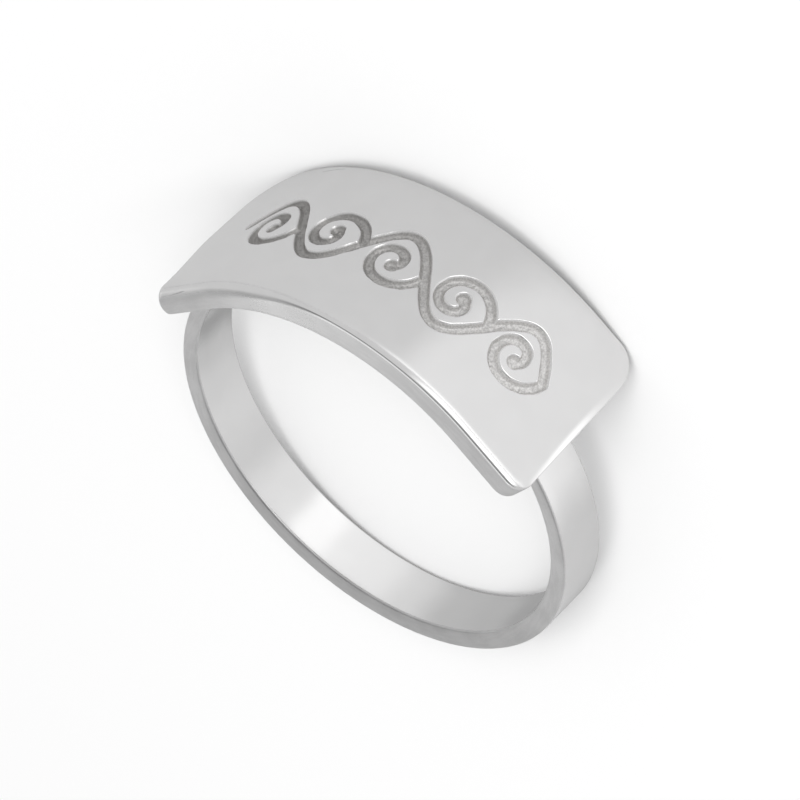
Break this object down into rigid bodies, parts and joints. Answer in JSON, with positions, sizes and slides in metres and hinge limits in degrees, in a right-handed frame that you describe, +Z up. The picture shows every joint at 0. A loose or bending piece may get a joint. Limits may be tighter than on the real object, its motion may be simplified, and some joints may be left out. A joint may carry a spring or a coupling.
{
  "type": "name ring",
  "caption": "Polished silver finger ring: a plain flat band with a bent rectangular plate soldered on top, engraved with a running scroll where a name would go.",
  "frame": {"origin": "on the surface that the ring lies on, under the middle of its bounding box", "axes": "+Z up from that surface, near the finger's axis; the plate faces -Y; X runs along the plate"},
  "size_m": [0.0188, 0.0212, 0.0083],
  "materials": {
    "silver": "polished silver, satin side faces, matt engraved lines"
  },
  "bodies": {
    "root": {"ring": "silver"}
  },
  "joints": []
}
